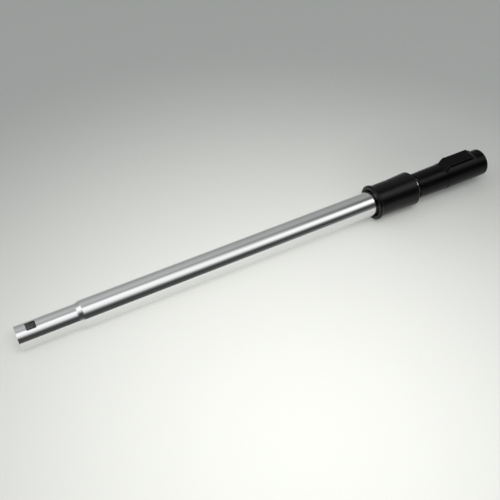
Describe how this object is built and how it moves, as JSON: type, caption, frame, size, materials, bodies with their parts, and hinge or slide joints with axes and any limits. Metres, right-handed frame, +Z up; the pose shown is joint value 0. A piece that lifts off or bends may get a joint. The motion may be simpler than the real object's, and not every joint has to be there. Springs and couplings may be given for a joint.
{
  "type": "telescopic vacuum wand",
  "caption": "Telescopic vacuum wand: chromed steel tube with a swaged spigot and a latch hole, black sliding release collar, black connector socket with a ribbed latch lever.",
  "frame": {"origin": "on the tubes' common axis, in the plane of the spigot's open end", "axes": "+X along the wand from the spigot towards the handle socket, +Z up through the latch hole and the latch lever, +Y across"},
  "size_m": [0.709, 0.0512, 0.0539],
  "materials": {
    "chromed_tube": "polished chrome plate on steel tube",
    "collar_plastic": "matte black, fine grain",
    "connector_plastic": "matte black",
    "lever_plastic": "matte black, ribbed",
    "guide_plastic": "natural grey, self-lubricating",
    "plain_steel": "plain steel",
    "spring_steel": "drawn spring wire",
    "seal_rubber": "soft black rubber",
    "wiper_felt": "grey felt"
  },
  "bodies": {
    "outer": {"outer_tube": "chromed_tube", "guide_bush": "guide_plastic", "bush_rivets": "plain_steel", "clamp_balls": "plain_steel", "wiper_ring": "wiper_felt", "collar_spring": "spring_steel"},
    "collar": {"release_collar": "collar_plastic", "collar_lip": "collar_plastic", "cone_ring": "plain_steel"},
    "inner": {"inner_tube": "chromed_tube", "slide_sleeve": "guide_plastic", "slide_seal": "seal_rubber", "connector_body": "connector_plastic", "connector_seal": "seal_rubber", "connector_rivet": "plain_steel", "socket_shell": "connector_plastic", "mouth_ring": "connector_plastic", "socket_seal": "seal_rubber", "pivot_pin": "plain_steel", "lever_spring": "spring_steel"},
    "lever": {"latch_lever": "lever_plastic"}
  },
  "joints": [
    {"name": "telescope", "type": "slide", "parent": "outer", "child": "inner", "axis": [1, 0, 0], "range_m": [0, 0.4]},
    {"name": "collar_release", "type": "slide", "parent": "outer", "child": "collar", "axis": [-1, 0, 0], "range_m": [0, 0.008], "stiffness_N_per_m": 800, "springref_m": -0.004, "deforming": ["collar_spring"]},
    {"name": "latch_press", "type": "hinge", "parent": "inner", "child": "lever", "pos_m": [0.662, 0, 0.0218], "axis": [0, -1, 0], "range_deg": [0, 12], "stiffness_Nm_per_rad": 0.4, "springref_deg": -11.46, "deforming": ["lever_spring"]}
  ]
}
